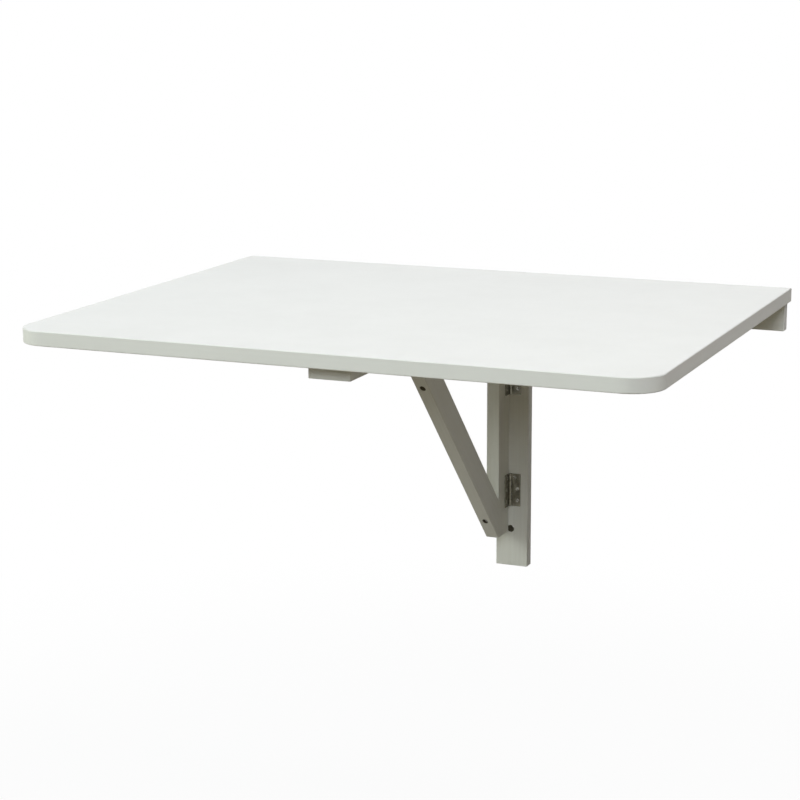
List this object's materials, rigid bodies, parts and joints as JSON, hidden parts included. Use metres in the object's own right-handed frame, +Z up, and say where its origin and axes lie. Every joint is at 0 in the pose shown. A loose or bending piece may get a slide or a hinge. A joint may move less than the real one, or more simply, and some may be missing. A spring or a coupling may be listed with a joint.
{
  "type": "wall mounted drop leaf table",
  "caption": "Wall-mounted folding table: a rounded leaf hinged to a wall rail, held up by a triangular bracket that swings out from an upright batten.",
  "frame": {"origin": "middle of the wall rail's back face, on the wall", "axes": "+X right along the wall, +Y into the wall, +Z up; the leaf's top is at Z = 36 mm"},
  "size_m": [0.75, 0.602, 0.396],
  "materials": {
    "leaf_paint": "white lacquered board, satin",
    "frame_paint": "white painted solid wood, satin",
    "bare_beech": "unfinished beech dowel",
    "glide_plastic": "white nylon, matt",
    "hinge_steel": "bronzed steel, gone dull",
    "screw_steel": "zinc plated steel"
  },
  "bodies": {
    "wall_frame": {"wall_rail": "frame_paint", "wall_batten": "frame_paint", "rail_batten_screws": "screw_steel", "batten_flap_screws": "screw_steel", "rail_flap_screws": "screw_steel", "bracket_hinge_upper_batten_flap": "hinge_steel", "bracket_hinge_upper_pin": "hinge_steel", "bracket_hinge_lower_batten_flap": "hinge_steel", "bracket_hinge_lower_pin": "hinge_steel", "leaf_hinge_left_rail_flap": "hinge_steel", "leaf_hinge_left_pin": "hinge_steel", "leaf_hinge_right_rail_flap": "hinge_steel", "leaf_hinge_right_pin": "hinge_steel"},
    "swing_bracket": {"bracket_post": "frame_paint", "bracket_arm": "frame_paint", "bracket_brace": "frame_paint", "arm_post_screws": "screw_steel", "brace_arm_screw": "screw_steel", "brace_post_screw": "screw_steel", "brace_arm_dowel": "bare_beech", "brace_post_dowel": "bare_beech", "post_flap_screws": "screw_steel", "bracket_hinge_upper_post_flap": "hinge_steel", "bracket_hinge_lower_post_flap": "hinge_steel"},
    "leaf": {"table_top": "leaf_paint", "grip_cleat": "frame_paint", "arm_glide": "glide_plastic", "cleat_screws": "screw_steel", "leaf_flap_screws": "screw_steel", "leaf_hinge_left_leaf_flap": "hinge_steel", "leaf_hinge_right_leaf_flap": "hinge_steel"}
  },
  "joints": [
    {"name": "bracket_swing", "type": "hinge", "parent": "wall_frame", "child": "swing_bracket", "pos_m": [0.01115, -0.0174, -0.18], "axis": [0, 0, 1], "range_deg": [0, 90]},
    {"name": "leaf_lift", "type": "hinge", "parent": "wall_frame", "child": "leaf", "pos_m": [0, -0.0374, 0.0155], "axis": [-1, 0, 0], "range_deg": [0, 2.5]}
  ]
}
